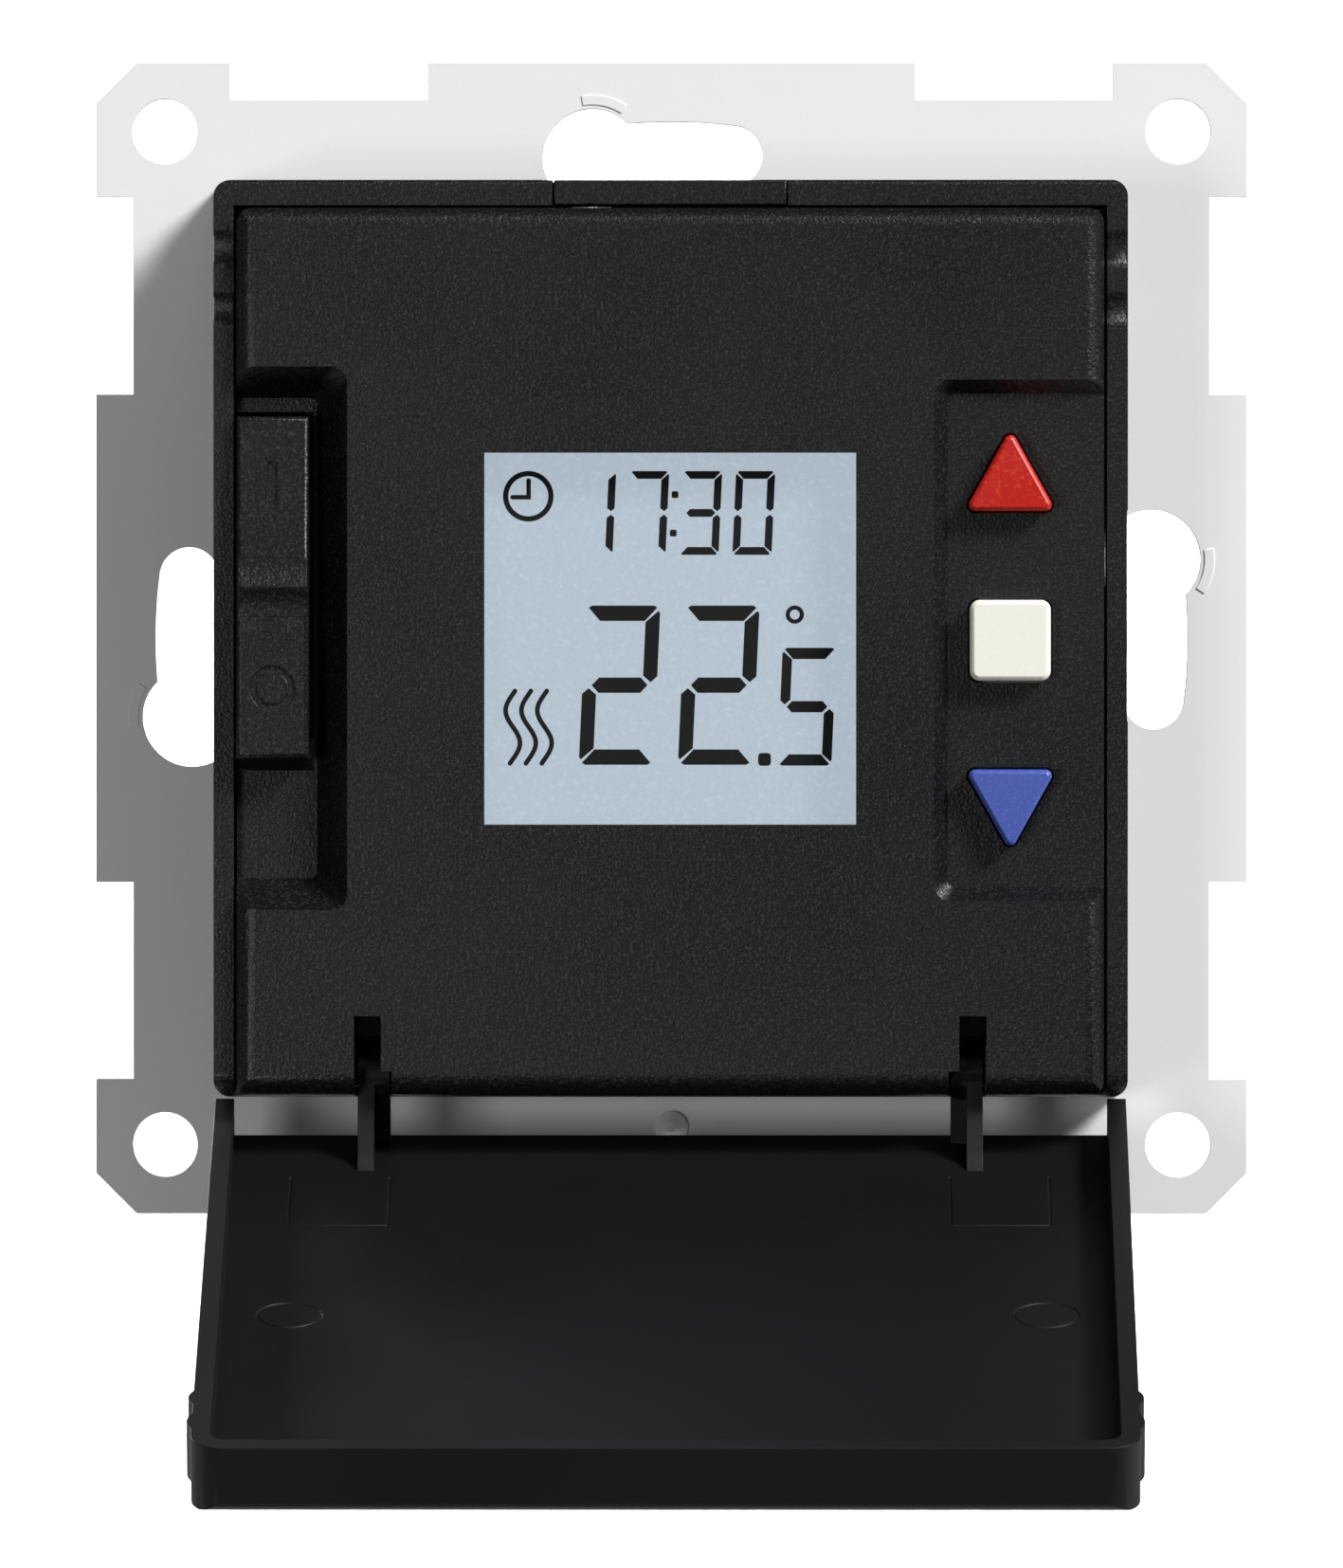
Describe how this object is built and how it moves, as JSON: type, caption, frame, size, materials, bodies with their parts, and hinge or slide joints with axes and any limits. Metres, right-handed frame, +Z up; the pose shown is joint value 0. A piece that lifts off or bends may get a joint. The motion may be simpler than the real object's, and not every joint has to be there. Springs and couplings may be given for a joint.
{
  "type": "wall thermostat",
  "caption": "Flush-mounted clock thermostat insert: support plate, black unit with square display, push buttons, rocker switch and a flip-down door.",
  "frame": {"origin": "centre of the support plate on its wall face", "axes": "+Y into the wall, +Z up, +X to the right as seen from the front"},
  "size_m": [0.071, 0.0842, 0.0866],
  "materials": {
    "plate_white": "fine matt, satin edges",
    "housing_grey": "matt moulded",
    "black_textured": "fine spark-eroded texture",
    "black_smooth": "satin moulded",
    "button_red": "satin",
    "button_white": "satin",
    "button_blue": "satin",
    "window_clear": "clear, polished",
    "lcd": "liquid-crystal cell, pale grey-blue",
    "board_green": "solder mask",
    "terminal_plastic": "matt moulded",
    "relay_blue": "smooth moulded case",
    "film_yellow": "smooth moulded case",
    "capacitor_sleeve": "shrink sleeve",
    "varistor_blue": "dipped coating",
    "fuse_brown": "smooth moulded case",
    "chip_black": "matt moulded",
    "steel": "zinc plated",
    "brass": "bright",
    "white_film": "diffuse film",
    "guide_acrylic": "clear moulded, diffusing",
    "elastomer": "soft"
  },
  "bodies": {
    "base": {"support_plate": "plate_white", "rear_housing": "housing_grey", "base_screws": "steel", "power_board": "board_green", "terminal_block": "terminal_plastic", "terminal_clamps": "brass", "terminal_screws": "steel", "relay": "relay_blue", "film_capacitor": "film_yellow", "smoothing_capacitor": "capacitor_sleeve", "varistor": "varistor_blue", "fuse": "fuse_brown", "header_socket": "chip_black", "header_pins": "chip_black", "front_frame": "black_textured", "cover_latch": "black_textured", "front_cover": "black_textured", "control_board": "board_green", "board_screws": "steel", "microcontroller": "chip_black", "crystal": "steel", "backup_battery": "steel", "room_sensor": "chip_black", "backlight_leds": "white_film", "reflector_sheet": "white_film", "light_guide": "guide_acrylic", "lcd_holder": "terminal_plastic", "contact_strips": "elastomer", "lcd_glass": "lcd", "display_window": "window_clear", "tact_switches": "chip_black", "switch_domes": "steel", "switch_body": "terminal_plastic", "switch_contacts": "brass", "rocker_pin": "steel"},
    "door": {"door": "black_smooth"},
    "rocker": {"rocker": "black_textured"},
    "contact_bridge": {"contact_bridge": "brass"},
    "up_key": {"button_up": "button_red", "plunger_up": "housing_grey"},
    "set_key": {"button_set": "button_white", "plunger_set": "housing_grey"},
    "down_key": {"button_down": "button_blue", "plunger_down": "housing_grey"}
  },
  "joints": [
    {"name": "door_hinge", "type": "hinge", "parent": "base", "child": "door", "pos_m": [0, -0.0116, -0.0266], "axis": [-1, 0, 0], "range_deg": [0, 110]},
    {"name": "rocker_tilt", "type": "hinge", "parent": "base", "child": "rocker", "pos_m": [-0.02425, -0.0102, 0.0029], "axis": [1, 0, 0], "range_deg": [0, 6]},
    {"name": "bridge_tilt", "type": "hinge", "parent": "base", "child": "contact_bridge", "pos_m": [-0.02425, -0.0049, 0.0029], "axis": [1, 0, 0], "range_deg": [-9, 0]},
    {"name": "up_press", "type": "slide", "parent": "base", "child": "up_key", "axis": [0, 1, 0], "range_m": [0, 0.0005], "stiffness_N_per_m": 1500, "springref_m": -0.0003},
    {"name": "set_press", "type": "slide", "parent": "base", "child": "set_key", "axis": [0, 1, 0], "range_m": [0, 0.0005], "stiffness_N_per_m": 1500, "springref_m": -0.0003},
    {"name": "down_press", "type": "slide", "parent": "base", "child": "down_key", "axis": [0, 1, 0], "range_m": [0, 0.0005], "stiffness_N_per_m": 1500, "springref_m": -0.0003}
  ],
  "couplings": [
    {"joint": "bridge_tilt", "follows": "rocker_tilt", "ratio": -1.5}
  ]
}
